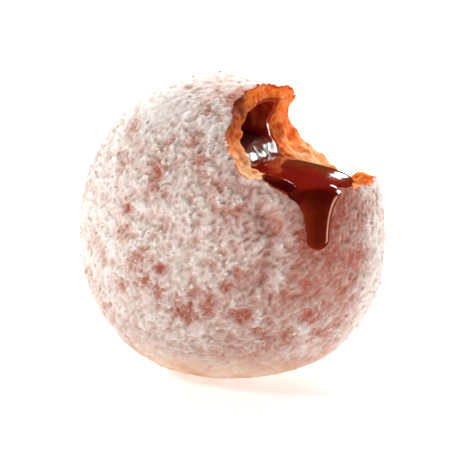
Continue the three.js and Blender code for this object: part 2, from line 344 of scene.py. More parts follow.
def powder_and_painted_light_by_side(spot):
    """How much more or less powder each side carries, with painted light and shade: lighter on the
    left, at the top, low on the right and at the right rim as painted light, darker right of the
    face's middle, beside the drip and on the smooth side as painted shade, and darker at the foot on
    the right. Each fades in between two millimetre marks.
    """
    x, y, up = spot.T
    painted_shade_right_of_face = rise(x, -4, 14) * rise(-y, 4, 14)
    left = rise(-x, 8, 28) * (1 - 0.8 * rise(-up, 6, 20))
    top = rise(up, 20, 34)
    painted_shade_by_the_drip = bell(x - 33, 4) * rise(up, -12, 0)
    painted_light_lower_right = rise(x, 12, 30) * rise(-up, 6, 20)
    painted_light_right_rim = rise(x, 37, 41)
    foot = rise(x, 8, 20) * rise(-up, 26, 33)
    # More is painted light on those sides. Less is painted shade right of the face's middle, beside
    # the drip and on the smooth side, where the coat is thinner too, and it is darker at the foot on
    # the right.
    more = 0.18 * left + 0.2 * top + 0.13 * painted_light_lower_right + 0.15 * painted_light_right_rim
    less = 0.22 * smooth_side(spot) + 0.18 * painted_shade_right_of_face + 0.14 * painted_shade_by_the_drip + 0.2 * foot
    return more - less


def crust_relief(out):
    """How far the crust stands out from the plain form, and how thick the powder is, with painted
    light and shade added to it.
    """
    spot = plain_form(out)
    x, y, up = spot.T
    aside = [cloud(spot / BENT_SIZE, 2, SEED + 20 + i) for i in range(3)]
    bent = spot + BENT * np.stack(aside, axis=1)
    rolled = bent - DRAWN_OUT * (bent @ ROLLED)[:, None] * ROLLED
    ridge = 1 - np.minimum(1, RIDGE_SHARPNESS * np.abs(noise(rolled / RIDGE, SEED + 30)))
    crumple = noise(rolled / CRUMPLE + 7.3, SEED + 40)  # moved off the ridges' grid
    grain = noise(spot / GRAIN, SEED + 50)
    cake = cloud(spot / CAKE, 2, SEED + 60)
    worn, belly, crease = worn_away(spot), belly_of(spot), crease_at(spot)
    speck = rise(0.9 * noise(bent / SPECK_SIZE, SEED + 80) + 1.1 * worn, 0.3, 1.6)
    heap = RIDGE_HEIGHT * ridge + CRUMPLE_HEIGHT * crumple + GRAIN_HEIGHT * grain
    # The coat lies lower where it is thin.
    caked = (1 - 0.6 * belly) * (1 - 0.5 * smooth_side(spot)) * (1 - 0.15 * worn)
    sugar = caked * (heap + CAKE_HEIGHT * cake)
    broad = HAND_SHAPED * swells(x, y, up, HAND_SIZE) - fold_at(x, y, up)
    relief = broad + sugar - crease - SPECK_DEPTH * speck * (1 - belly)
    # Heaps and cakes hold powder, and the hollows between them are painted darker, partly as shade.
    # Specks and worn patches have lost powder, and the crease is painted darker as shade.
    powder = 0.65 + 0.34 * (heap - 0.1) + 0.2 * cake - 0.42 * speck - 0.22 * worn - 0.3 * crease
    # The powder returned also holds the painted light and shade of the sides.
    return spot, relief, powder + powder_and_painted_light_by_side(spot), belly


# %% The crust
STEPS, FRONT_PULL = 91, 0.3
directions, triangles = ball(STEPS, FRONT_PULL)
plain, relief, _, _ = crust_relief(directions)
dough = make_piece("dough_bitten", plain + directions * relief[:, None], triangles)
print("crust", len(triangles), "triangles; relief", relief.min().round(2), relief.max().round(2))

# %% [markdown]
# ## The bite
#
# The bite is cut as the mouth cut it: an arch straight through the thickness, with the marks of
# the teeth round it. Fried yeast dough tears rather than cuts, so the wall is lumpy and full of
# small holes. A lump of it was left standing at the top, and a smaller one at the right corner.

# %% The bite's wall
# Places round the bite are in degrees from its right, upwards.
MEAN_TOOTH = 0.64  # the mean height of the rounded wave that the teeth leave
TORN_LUMP = dict(height=9.0, starts=120, full=150, falls=160, ends=214)
LUMP_FRONT = dict(share=0.2, starts=-9, full=10)  # it is lowest at the front
CORNER_DIP = dict(depth=3.4, at=304, width=14)
DIP_FRONT = dict(starts=1, ends=12, lost=0.65)  # the dip is shallower in front
CORNER_LUMP = dict(height=3.2, at=296, width=6.5, y=6.5, depth=4.5)
FLOOR_SAG = dict(depth=0.8, at=270, width=30, fades=14, ends=22)
FRONT_LIP = dict(height=2.2, at=246, width=14, starts=12, full=20)
BACK = dict(starts=4, full=20, tighter=1.3, deeper=3.6, falls=248, low=268)
CRUMB_SWELL, CRUMB_SWELL_SIZE = 0.7, 6.8
LUMP_SIZE, CRUMB_SIZE, HOLE_SIZE, RAG_SIZE = 4.8, 2.1, 1.5, 0.8
LUMP_DEPTH, CRUMB_DEPTH, HOLE_DEPTH, RAG_DEPTH = 1.25, 0.6, 0.5, 0.24
BITE_LENGTH = 76.0  # more than the doughnut's thickness


def bite_relief(turn, y):
    """How much further out than its plain arch the bite's wall is."""
    degrees = np.degrees(turn)
    teeth = BITE["tooth"] * (np.abs(np.cos(math.pi * turn / BITE["pitch"])) - MEAN_TOOTH)
    stands = rise(degrees, TORN_LUMP["starts"], TORN_LUMP["full"])
    stands = stands * (1 - rise(degrees, TORN_LUMP["falls"], TORN_LUMP["ends"]))
    to_back = rise(y, LUMP_FRONT["starts"], LUMP_FRONT["full"])
    lump = TORN_LUMP["height"] * stands * (LUMP_FRONT["share"] + (1 - LUMP_FRONT["share"]) * to_back)
    dip = CORNER_DIP["depth"] * bell(np.minimum(degrees - CORNER_DIP["at"], 0), CORNER_DIP["width"])
    dip = dip * (1 - DIP_FRONT["lost"] * rise(-y, DIP_FRONT["starts"], DIP_FRONT["ends"]))
    corner = CORNER_LUMP["height"] * bell(degrees - CORNER_LUMP["at"], CORNER_LUMP["width"])
    corner = corner * bell(y - CORNER_LUMP["y"], CORNER_LUMP["depth"])
    sag = FLOOR_SAG["depth"] * bell(degrees - FLOOR_SAG["at"], FLOOR_SAG["width"])
    sag = sag * (1 - rise(np.abs(y), FLOOR_SAG["fades"], FLOOR_SAG["ends"]))
    lip = FRONT_LIP["height"] * bell(degrees - FRONT_LIP["at"], FRONT_LIP["width"])
    lip = lip * rise(-y, FRONT_LIP["starts"], FRONT_LIP["full"])
    to_right = rise(degrees, BACK["falls"], BACK["low"])
    far = rise(y, BACK["starts"], BACK["full"]) * (BACK["deeper"] * to_right - BACK["tighter"])
    x, up = BITE["radius"] * np.cos(turn), BITE["radius"] * np.sin(turn)
    crumb = CRUMB_SWELL * swells(x, y, up, CRUMB_SWELL_SIZE)
    return teeth - lump + dip - corner + sag - lip + far + crumb


def domes(points, seed, reach, least):
    """Rounded lumps with creases between them. Each has its own height, from the least to 1."""
    near, own = cells(points, seed)
    return np.clip(1 - (near / reach) ** 2, 0, 1) * (least + (1 - least) * own)


def torn_crumb(turn, y):
    """Lumps and holes of torn crumb, as depth into the wall."""
    wall = np.stack([BITE["radius"] * np.cos(turn), y, BITE["radius"] * np.sin(turn)], axis=1)
    wall = wall + 0.6 * np.stack([cloud(wall / 2.5, 2, 70 + i) for i in range(3)], axis=1)
    lumps = domes(wall / LUMP_SIZE, 80, 0.85, 0.3)
    crumbs = domes(wall / CRUMB_SIZE, 85, 0.8, 0.4)
    near, own = cells(wall / HOLE_SIZE, 90)
    holes = bell(near, 0.32) * (own > 0.6)  # in four of ten cells
    # Lumps and crumbs count from about their mean height, so that they don't narrow the bite.
    relief = LUMP_DEPTH * (0.4 - lumps) + CRUMB_DEPTH * (0.45 - crumbs) + HOLE_DEPTH * holes
    return relief + RAG_DEPTH * cloud(wall / RAG_SIZE, 2, 95)


def bite_solid(sides, rows, grow=0.0, torn=True):
    """The closed form of what the bite took away."""
    turn = np.repeat(np.arange(sides) * 2 * math.pi / sides, rows)
    front, back = -BITE_LENGTH / 2, BITE_LENGTH / 2
    y = np.tile(np.linspace(front, back, rows), sides)
    radius = BITE["radius"] + grow + bite_relief(turn, y)
    if torn:
        radius = radius + torn_crumb(turn, y)
    points = np.stack([BITE["x"] + radius * np.cos(turn), y,
                       BITE["up"] + radius * np.sin(turn)], axis=1)
    ends = [(BITE["x"], front, BITE["up"]), (BITE["x"], back, BITE["up"])]
    faces = []
    for a in range(sides):
        here, there = a * rows, (a + 1) % sides * rows
        for b in range(rows - 1):
            faces += [(here + b, here + b + 1, there + b + 1), (here + b, there + b + 1, there + b)]
        faces.append((here, there, sides * rows))
        faces.append((there + rows - 1, here + rows - 1, sides * rows + 1))
    return np.concatenate([points, ends]), np.array(faces)


def plump(form, steps, grow=0.0):
    """A rounded box-like form. A slope tips it about Y, a lean carries its top to the back."""
    out, faces = ball(steps)
    half = np.array(form["half"]) + grow
    power = form["power"]
    size = np.sum(np.abs(out / half) ** power, axis=1) ** (-1 / power)
    points = out * size[:, None]
    slope = form.get("slope", 0)
    x, z = points[:, 0].copy(), points[:, 2].copy()
    points[:, 0] = x * math.cos(slope) + z * math.sin(slope)
    points[:, 2] = z * math.cos(slope) - x * math.sin(slope)
    points += np.array(form["at"])
    points[:, 1] += form.get("lean", 0) * (np.maximum(points[:, 2], LEAN_END) - LEAN_LEVEL)
    return points, faces


# %% Cut the bite and the pocket
BITE_SIDES, BITE_ROWS = ((300, 170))
combine(dough, make_piece("bite", *bite_solid(BITE_SIDES, BITE_ROWS)), "DIFFERENCE")
combine(dough, make_piece("pocket", *plump(POCKET, 26)), "DIFFERENCE")
print("dough", len(dough.data.polygons), "faces")

# %% [markdown]
# The doughnut's weight presses its rim flat where it stands, so whatever reaches below the
# floor is pushed up to it.

# %% Press the foot flat, and mark crust and crumb
SKIN = 0.05  # a face with a corner deeper than this under the crust is torn crumb
DEEP = 12.0  # where the crumb's depth stops counting
spots = points_of(dough)
spots[:, 2] = np.maximum(spots[:, 2], -CENTRE_HEIGHT)
move_points(dough, spots)
reach = np.linalg.norm(spots, axis=1)
out = spots / reach[:, None]
plain, relief, powder, belly = crust_relief(out)
under_crust = np.linalg.norm(plain, axis=1) + relief - reach
corners = np.empty(len(dough.data.loops), np.int32)
dough.data.loops.foreach_get("vertex_index", corners)
starts = np.empty(len(dough.data.polygons), np.int32)
dough.data.polygons.foreach_get("loop_start", starts)
deepest = np.maximum.reduceat(under_crust[corners], starts)
torn_faces = (deepest > SKIN).astype(np.int32)
# The powder attribute also holds the painted light and shade of the sides.
paint(dough, "powder", powder)
paint(dough, "depth_in_crumb", under_crust / DEEP)
print("crumb faces", int(torn_faces.sum()))

# %% [markdown]
# Torn dough has no knife-sharp edge. Only the points within a millimetre or so of the rim are
# relaxed, so the sugar's relief keeps its crispness.

# %% Round the torn rim
RIM_ROUND = 1.0  # how far from the rim it works
turn = np.arctan2(spots[:, 2] - BITE["up"], spots[:, 0] - BITE["x"]) % (2 * math.pi)
from_axis = np.hypot(spots[:, 0] - BITE["x"], spots[:, 2] - BITE["up"])
to_bite = from_axis - BITE["radius"] - bite_relief(turn, spots[:, 1])
by_rim = bell(np.maximum(under_crust, 0), RIM_ROUND) * bell(np.maximum(to_bite, 0), RIM_ROUND)
# A vertex group takes one weight at a time, so the weights go in by tenths.
rim = dough.vertex_groups.new(name="rim")
for weight in np.arange(0.1, 1.01, 0.1):
    rim.add(np.nonzero(np.abs(by_rim - weight) <= 0.05)[0].tolist(), float(weight), "REPLACE")
applied(dough, "SMOOTH", factor=0.5, iterations=7, vertex_group="rim")
spots = points_of(dough)
print("rim points", int((by_rim > 0.5).sum()))

# %% [markdown]
# ## Sugar clumps
#
# Where the powder caked hardest, separate lumps lie on the crust. Each is a small flat uneven
# nugget of twenty triangles, its lower side sunk in the crust, and drawn out along the ridges.
# Few lie at the top, where their shadows would pepper the even white. They are joined as one
# mesh of arrays, which is light and exports as it is.

# %% Sugar clumps
CLUMPS = 2600
CLUMP_SIZE = 0.3, 0.62  # half widths in millimetres
CLUMP_SUNK = 0.28  # of that half width, into the crust
CLUMP_FLATNESS, CLUMP_DRAWN, CLUMP_UNEVEN = 0.45, 0.5, 0.28
MOSTLY_SMALL = 2.2  # the power that makes few of them large
rng = np.random.default_rng(SEED)
normals = normals_of(dough)
likely = (under_crust < SKIN) * np.clip(powder - 0.5, 0, 1) * (1 - 0.75 * smooth_side(plain))
likely = likely * (1 - belly) * (1 - 0.85 * rise(plain[:, 2], 24, 34))
likely = likely * (0.4 + rise(cloud(plain / 5, 2, 130), -0.3, 0.5))
chosen = rng.choice(len(spots), CLUMPS, replace=False, p=likely / likely.sum())
nugget, nugget_faces = ball(1)


def nuggets(seats, outward, sizes):
    """One small uneven nugget on each seat, as one set of points and faces."""
    count = len(seats)
    shape = nugget[None] * (1 + CLUMP_UNEVEN * (rng.random((count, len(nugget), 1)) - 0.5))
    spin = rng.normal(size=(count, 3))
    side = np.cross(spin, outward)
    side /= np.linalg.norm(side, axis=1)[:, None]
    third = np.cross(outward, side)
    turned = (shape[..., :1] * side[:, None] + shape[..., 1:2] * third[:, None]
              + CLUMP_FLATNESS * shape[..., 2:] * outward[:, None])
    turned += CLUMP_DRAWN * (turned @ ROLLED)[..., None] * ROLLED
    points = seats[:, None] + sizes[:, None, None] * turned
    faces = nugget_faces[None] + np.arange(count)[:, None, None] * len(nugget)
    return points.reshape(-1, 3), faces.reshape(-1, 3)


sizes = CLUMP_SIZE[0] + (CLUMP_SIZE[1] - CLUMP_SIZE[0]) * rng.random(CLUMPS) ** MOSTLY_SMALL
seats = spots[chosen] - normals[chosen] * (CLUMP_SUNK * sizes)[:, None]
sugar = make_piece("sugar_clumps", *nuggets(seats, normals[chosen], sizes))
print("sugar clumps", len(sugar.data.polygons), "faces")

# %% [markdown]
# ## The jelly
#
# Jelly is thick but it flows, so it has no sharp edge anywhere: surface tension rounds it, and
# it creeps a little up whatever it touches. What fills the pocket, the pool, the bead over the
# front lip and the drip are made as four overlapping closed forms. A voxel remesh melts them
# into one skin, and smoothing that skin rounds each join as surface tension does. It reaches
# just into the dough, so that no gap shows.

# %% The jelly in the pocket
JELLY_REACH = 0.45  # how far it reaches into the dough
JELLY_COAT = 1.7  # what clings to the wall of the emptied hollow
CREEP = 1.9  # how softly the surface turns up where it meets that wall
STREAK_AXIS = 4.0, 1.0  # across and to the back, what the streaks on that wall run round
SAG = 0.9


def streaked(points, turns, length):
    """Where each point is round the hollow and up it, to draw noise out into upright streaks."""
    x, y, up = points.T
    around = np.arctan2(y - STREAK_AXIS[1], x - STREAK_AXIS[0])
    return np.stack([around * turns, up / length, np.zeros(len(up))], axis=1)


def hollow_wall():
    """The emptied part of the pocket: jelly clings to its wall in sagging vertical streaks."""
    points, faces = plump(HOLLOW, 40)
    sag = SAG * cloud(streaked(points, 3.4, 16), 2, 150) * rise(points[:, 2], 14, 20)
    outward = points - np.array(HOLLOW["at"])
    outward[:, 2] = 0
    outward /= np.maximum(np.linalg.norm(outward, axis=1), 1)[:, None]
    return points + outward * sag[:, None], faces


def level_at(across):
    """The jelly's surface. It bulges out of the pocket, and drops in a shoulder to the pool."""
    shoulder = SHOULDER["height"] * (1 - rise(across, SHOULDER["starts"], SHOULDER["ends"]))
    return LEVEL[1] - math.tan(SLOPE) * (across - LEVEL[0]) + shoulder


def lifted_to_level(points):
    """Whatever is below the jelly's surface comes up to it, in a curve and not at a corner."""
    level = level_at(points[:, 0])
    above = points[:, 2] - level
    points[:, 2] = level + CREEP * np.logaddexp(0, above / CREEP)
    return points


jelly = make_piece("jelly_flowing", *plump(POCKET, 40, JELLY_REACH))
combine(jelly, make_piece("mouth", *bite_solid(180, 100, grow=0.5, torn=False)), "DIFFERENCE")
air = make_piece("air", *hollow_wall())
combine(air, make_piece("inner", *plump(POCKET, 30, -JELLY_COAT)), "INTERSECT")
move_points(air, lifted_to_level(points_of(air)))
combine(jelly, air, "DIFFERENCE")
print("jelly in the pocket", len(jelly.data.polygons), "faces")

# %% [markdown]
# The drip left the pool over the bite's front lip. It is widest there, narrows as it stretches,
# and ends round, hanging by its own skin.

# %% The drip
LIP, DRIP_END = (29.2, 14.6), (30.2, 0.6)  # across and up, on the face
DRIP_WAY = [LIP, (29.7, 11.2), (30.0, 6.6), DRIP_END]
RUN_UP = (-8.4, 10.6, 0.2)  # from the lip back over the pool
NECK, FLARE, FLARE_LENGTH, BULGE = 2.75, 4.5, 3.8, 2.3  # half widths, a length, half a thickness
BLUNT = 1.9  # more makes blunter ends


def on_face(across, up):
    """The point of the plain front face at a place across and up."""
    share = math.hypot(across, up) / rim_radius(np.arctan2(up, across))
    depth = HALF_THICKNESS * (1 - share**PLUMPNESS) ** (1 / PLUMPNESS)
    return np.array((across, -depth, up))


def smooth_line(stops, count):
    """Even points on one smooth curve through the stops."""
    stops = np.array(stops)
    ends = np.concatenate([[2 * stops[0] - stops[1]], stops, [2 * stops[-1] - stops[-2]]])
    line = []
    for i in range(len(stops) - 1):
        a, b, c, d = ends[i:i + 4]
        t = np.linspace(0, 1, 40)[:, None]
        line.append(0.5 * (2 * b + (c - a) * t + (2 * a - 5 * b + 4 * c - d) * t**2
                           + (3 * b - a - 3 * c + d) * t**3))
    line = np.concatenate(line)
    run = np.concatenate([[0], np.cumsum(np.linalg.norm(np.diff(line, axis=0), axis=1))])
    even = np.linspace(0, run[-1], count)
    return np.stack([np.interp(even, run, line[:, i]) for i in range(3)], axis=1), run[-1]


def tube(rings, first, last):
    """A closed form from rings of points and the first and last point of its middle line."""
    rows, sides = rings.shape[:2]
    faces = []
    for a, b in itertools.product(range(rows - 1), range(sides)):
        c = (b + 1) % sides
        faces += [(a * sides + b, a * sides + c, (a + 1) * sides + c),
                  (a * sides + b, (a + 1) * sides + c, (a + 1) * sides + b)]
    tip, end = rows * sides, (rows - 1) * sides
    faces += [(tip, (b + 1) % sides, b) for b in range(sides)]
    faces += [(tip + 1, end + b, end + (b + 1) % sides) for b in range(sides)]
    return np.concatenate([rings.reshape(-1, 3), [first], [last]]), np.array(faces)


def drip_form(rows=70, sides=48):
    """The drip, flat like a tongue: rings whose width changes along its way."""
    lip = on_face(*LIP)
    start = lip + np.array(RUN_UP)
    stops = [start, start + 0.6 * (lip - start), *(on_face(*place) for place in DRIP_WAY)]
    line, length = smooth_line(stops, rows)
    tangent = np.gradient(line, axis=0)
    tangent /= np.linalg.norm(tangent, axis=1)[:, None]
    along_lip = on_face(LIP[0] + 4, LIP[1]) - on_face(LIP[0] - 4, LIP[1])
    across = along_lip - (tangent @ along_lip)[:, None] * tangent
    across /= np.linalg.norm(across, axis=1)[:, None]
    outward = np.cross(tangent, across)
    share = np.linspace(-1, 1, rows)
    full = np.minimum(1, BLUNT * np.sqrt(np.maximum(1e-4, 1 - share**2)))
    past_lip = np.maximum(0, (share + 1) / 2 * length - np.linalg.norm(lip - start))
    half = (NECK + FLARE * np.exp(-past_lip / FLARE_LENGTH)) * full
    turn = np.arange(sides) * 2 * math.pi / sides
    rings = (line[:, None] + (half[:, None] * np.cos(turn))[..., None] * across[:, None]
             + (BULGE * full[:, None] * np.sin(turn))[..., None] * outward[:, None])
    return tube(rings, line[0], line[-1])


# %% Where the jelly laps over the front lip
LAP = [(15.9, 19.6), (18.0, 18.5), (20.4, 17.4), (22.6, 16.2), (24.8, 14.7), (27.5, 13.9)]
LAP_RADIUS = 1.9
LAP_SUNK = (0, 0.9, 0.1)  # of its middle line, behind the crust


def lap_form(rows=40, sides=24):
    """A round bead along the lip, whose ends taper to nothing."""
    line, _ = smooth_line([on_face(*place) + np.array(LAP_SUNK) for place in LAP], rows)
    tangent = np.gradient(line, axis=0)
    tangent /= np.linalg.norm(tangent, axis=1)[:, None]
    side = np.cross(tangent, (0, 0, 1))
    side /= np.linalg.norm(side, axis=1)[:, None]
    above = np.cross(side, tangent)
    radius = LAP_RADIUS * np.sqrt(np.sin(np.linspace(0.02, math.pi - 0.02, rows)))
    turn = np.arange(sides) * 2 * math.pi / sides
    round_it = (np.cos(turn)[None, :, None] * side[:, None]
                + np.sin(turn)[None, :, None] * above[:, None])
    return tube(line[:, None] + radius[:, None, None] * round_it, line[0], line[-1])


# %% Melt pool, drip and filling into one skin
VOXEL = 0.36
POOL_BEHIND_CRUST = 0.6  # the pool itself stops this far inside the face
WOBBLE, WOBBLE_SIZE = 0.08, 4.5  # set jelly is never quite flat
face_out, face_triangles = ball(40)
pool = make_piece("pool", *plump(POOL, 30, 0.1))
face = plain_form(face_out) - POOL_BEHIND_CRUST * face_out
combine(pool, make_piece("face", face, face_triangles), "INTERSECT")
for part in (pool, make_piece("drip", *drip_form()), make_piece("lap", *lap_form())):
    bpy.context.view_layer.update()
    with bpy.context.temp_override(
        active_object=jelly, object=jelly, selected_editable_objects=[jelly, part]
    ):
        bpy.ops.object.join()
applied(jelly, "REMESH", mode="VOXEL", voxel_size=VOXEL * MM)
applied(jelly, "SMOOTH", factor=0.5, iterations=14)
jelly_spots = points_of(jelly)
wobble = WOBBLE * cloud(jelly_spots / WOBBLE_SIZE, 2, 180)
move_points(jelly, jelly_spots + normals_of(jelly) * wobble[:, None])
jelly.data.shade_smooth()
print("jelly", len(jelly.data.polygons), "faces")

# %% [markdown]
# Jelly is see-through where it is thin and nearly black where it is thick. How thick it is
# behind each point is measured with a ray sent inwards, until it meets dough or comes out of
# the other side, and kept for the material.

# %% How thick the jelly is
dough_tree = BVHTree.FromPolygons(
    [Vector(p) for p in points_of(dough)], [tuple(f.vertices) for f in dough.data.polygons]
)
jelly_spots, jelly_normals = points_of(jelly), normals_of(jelly)
jelly_tree = BVHTree.FromPolygons(
    [Vector(p) for p in jelly_spots], [tuple(f.vertices) for f in jelly.data.polygons]
)
THICK = 7.0  # deeper jelly looks no darker
START_INSIDE = 0.05  # so that the ray doesn't meet the skin it starts from
thickness = np.full(len(jelly_spots), THICK)
for i, (spot, normal) in enumerate(zip(jelly_spots, jelly_normals)):
    start, inward = Vector(spot - START_INSIDE * normal), Vector(-normal)
    for tree in (dough_tree, jelly_tree):
        hit = tree.ray_cast(start, inward, THICK)
        if hit[0] is not None:
            thickness[i] = min(thickness[i], hit[3])
paint(jelly, "thickness", thickness / THICK)
print("jelly thickness", np.percentile(thickness, (5, 25, 50, 75, 95)).round(2))

# %% [markdown]
# The open top of the pool is painted browner than the rest, as painted light from above that
# enters it there and scatters back. That follows how far the skin faces up, and only out in the
# bite. The thin coat on the hollow's wall is a clearer red, painted brighter as light in the
# shaded hollow, and paler in the trails where jelly slid down. Left of the pool the skin was
# smeared by the teeth, so it mirrors less sharply there.

# %% Where the jelly is lit, thin or smeared
across, depth, height = jelly_spots.T
facing_up = rise(jelly_normals[:, 2], 0.6, 0.97) * rise(across, 5, 12)
paint(jelly, "lit_from_above", facing_up * (1 - 0.75 * rise(-depth, 3, 15)))
trails = cloud(streaked(jelly_spots, 6, 9), 3, 170)
on_wall = rise(height - level_at(across), 0.2, 2.4)
paint(jelly, "coat_in_hollow", on_wall * np.clip(0.5 + 0.8 * trails, 0.01, 1))
paint(jelly, "smeared", 1 - rise(across, 9, 14))

# %% [markdown]
# Nor is the crumb one colour. Low at the front and at the back of the bite's floor it is painted
# paler as light falling there, with a few pale patches elsewhere. The upper left of the torn ring
# is painted brown as shade.

# %% Where the crumb is painted lit or shaded, and its pale patches
paint(dough, "belly", belly)
across, depth, height = spots.T
ragged = 4 * cloud(spots / 5, 2, 160)
in_front = rise(-depth + ragged, 4, 14)
painted_light_low_in_front = rise(26 - height + ragged, -2, 7) * in_front
painted_shade_high_in_front = rise(height - 27 + ragged, -3, 8) * in_front
painted_light_back_of_floor = rise(across + ragged, 8, 18) * (1 - rise(across, 28, 33))
painted_light_back_of_floor = painted_light_back_of_floor * rise(depth, -6, 4) * (1 - rise(height, 27, 34))
patches = 0.3 * rise(cloud(spots / 3, 2, 165), 0, 0.5)
paint(dough, "pale_and_painted_light_crumb", np.maximum(painted_light_low_in_front, patches + 0.7 * painted_light_back_of_floor))
paint(dough, "painted_shade_crumb", painted_shade_high_in_front * (1 - rise(across, 12, 19)))

# %% [markdown]
# ## Materials
#
# Colours are given as the screen's hex values and turned to linear light by one function, and
# one small function adds a node with its settings and links.


# %% Colours and nodes
def linear(hex_colour):
    """A screen colour such as #f3ebe6 as linear red, green, blue and alpha."""
    parts = [int(hex_colour[i:i + 2], 16) / 255 for i in (1, 3, 5)]
    return (*(p / 12.92 if p <= 0.04045 else ((p + 0.055) / 1.055) ** 2.4 for p in parts), 1.0)


def add(tree, kind, sockets=None, **settings):
    """Adds a node. Each socket gets a value, a colour in hex, or a link from another socket."""
    node = tree.nodes.new("ShaderNode" + kind)
    for name, value in settings.items():
        setattr(node, name, value)
    for key, value in (sockets or {}).items():
        if isinstance(value, bpy.types.NodeSocket):
            tree.links.new(value, node.inputs[key])
        else:
            node.inputs[key].default_value = linear(value) if isinstance(value, str) else value
    return node


def new_material(name):
    """An empty material and its node tree."""
    material = bpy.data.materials.new(name)
    material.use_nodes = True
    tree = material.node_tree
    tree.nodes.clear()
    return material, tree


def ramp(tree, share, *stops):
    """A colour ramp from stops of (place, hex colour)."""
    node = add(tree, "ValToRGB", {"Fac": share})
    while len(node.color_ramp.elements) < len(stops):
        node.color_ramp.elements.new(0.5)
    for element, (place, colour) in zip(node.color_ramp.elements, stops):
        element.position, element.color = place, linear(colour)
    return node.outputs["Color"]


def grain_noise(tree, size_mm, detail=2.0, roughness=0.5):
    """Noise whose swells are so many millimetres apart, in the object's own space."""
    place = add(tree, "TexCoord").outputs["Object"]
    return add(tree, "TexNoise", {
        "Vector": place, "Scale": 1 / (size_mm * MM), "Detail": detail, "Roughness": roughness
    }).outputs["Fac"]


def calc(tree, operation, first, second=0.5, third=0.5, clamp=False):
    """The result of a sum on up to three numbers."""
    node = add(tree, "Math", {0: first, 1: second, 2: third}, operation=operation, use_clamp=clamp)
    return node.outputs[0]


def mixed(tree, share, first, second):
    """The first colour, giving way to the second as the share rises to 1."""
    node = add(tree, "Mix", {0: share, 6: first, 7: second}, data_type="RGBA")
    return node.outputs[2]


# %% [markdown]
# Powdered sugar on fried dough. The sugar is a dry white powder that scatters light like chalk.
# Where it is thin, the red-brown crust shows through it as a dusty mauve, and where it is worn
# off, the fried crust is bare. Underneath is the pale, smooth belly.

# %% Sugared crust
crust, tree = new_material("powdered_sugar_on_fried_dough")
# The powder attribute also carries painted light and shade by side.
powder_here = add(tree, "Attribute", attribute_name="powder").outputs["Fac"]
fine = grain_noise(tree, 0.7, 3.0, 0.6)
blotch = grain_noise(tree, 9.0, 2.0)
uneven = calc(tree, "MULTIPLY_ADD", fine, 0.3, -0.15)  # as much below zero as above it
thick = calc(tree, "ADD", powder_here, uneven, clamp=True)
coated = ramp(tree, thick, (0.0, "#b05a49"), (0.2, "#b97b6c"), (0.42, "#c89f93"),
              (0.62, "#dcc4ba"), (0.95, "#f5ede7"))
belly_here = add(tree, "Attribute", attribute_name="belly").outputs["Fac"]
belly_colour = ramp(tree, blotch, (0.35, "#e8b896"), (0.65, "#f9e2cf"))
dusting = calc(tree, "MULTIPLY_ADD", grain_noise(tree, 1.3, 4.0, 0.7), 3.0, -1.5)
bare = calc(tree, "ADD", belly_here, calc(tree, "MULTIPLY", dusting, 0.6), clamp=True)
surface = mixed(tree, calc(tree, "MULTIPLY", bare, 0.85), coated, belly_colour)
bump = add(tree, "Bump", {"Height": grain_noise(tree, 0.65, 3.0, 0.6), "Strength": 0.6,
                          "Distance": 0.00035})
shader = add(tree, "BsdfPrincipled", {
    "Base Color": surface, "Roughness": 0.86, "IOR": 1.5, "Specular IOR Level": 0.22,
    "Normal": bump.outputs[0]
})
add(tree, "OutputMaterial", {"Surface": shader.outputs[0]})

# %% [markdown]
# Torn crumb. Enriched yeast dough is golden orange inside where jelly and fat have soaked it,
# paler and creamier in patches and where it is painted lit, painted brown as shade at the torn
# ring's upper left, and browner in the last millimetre under the crust.

# %% Torn crumb
crumb, tree = new_material("torn_yeast_crumb")
depth_here = add(tree, "Attribute", attribute_name="depth_in_crumb").outputs["Fac"]
pale_and_lit_here = add(tree, "Attribute", attribute_name="pale_and_painted_light_crumb").outputs["Fac"]
fine = grain_noise(tree, 1.4, 3.0, 0.6)
golden = ramp(tree, fine, (0.25, "#dc5a1a"), (0.5, "#fa7e2a"), (0.75, "#ffab58"))
creamy = ramp(tree, fine, (0.25, "#ee9456"), (0.6, "#ffc492"))
# The creamy colour serves the pale patches and the painted light; the brown below is painted shade.
painted_shade_here = add(tree, "Attribute", attribute_name="painted_shade_crumb").outputs["Fac"]
painted_shade_colour = ramp(tree, fine, (0.25, "#74280a"), (0.7, "#9c4416"))
inside = mixed(tree, painted_shade_here, mixed(tree, pale_and_lit_here, golden, creamy), painted_shade_colour)
under = ramp(tree, depth_here, (0.0, "#c08050"), (0.08, "#ffffff"))
toned = add(tree, "Mix", {0: 1.0, 6: inside, 7: under}, data_type="RGBA", blend_type="MULTIPLY")
bump = add(tree, "Bump", {"Height": grain_noise(tree, 1.0, 4.0, 0.6), "Strength": 0.8,
                          "Distance": 0.0005})
shader = add(tree, "BsdfPrincipled", {
    "Base Color": toned.outputs[2], "Roughness": 0.7, "IOR": 1.45,
    "Subsurface Weight": 0.5, "Subsurface Radius": (1.0, 0.42, 0.14),
    "Subsurface Scale": 0.003, "Specular IOR Level": 0.04, "Normal": bump.outputs[0]
})
add(tree, "OutputMaterial", {"Surface": shader.outputs[0]})

# %% [markdown]
# Berry jelly. Pectin and sugar syrup set soft: wet, very smooth, and with an IOR a little above
# water's. Light that crosses a millimetre of it comes back amber; half a centimetre swallows
# all but a dark red.

# %% Jelly
syrup, tree = new_material("berry_jelly")
thick_here = add(tree, "Attribute", attribute_name="thickness").outputs["Fac"]
depth_colour = ramp(tree, thick_here, (0.0, "#963a0e"), (0.16, "#7c260a"), (0.38, "#560d06"),
                    (0.7, "#430505"))
lit_here = add(tree, "Attribute", attribute_name="lit_from_above").outputs["Fac"]
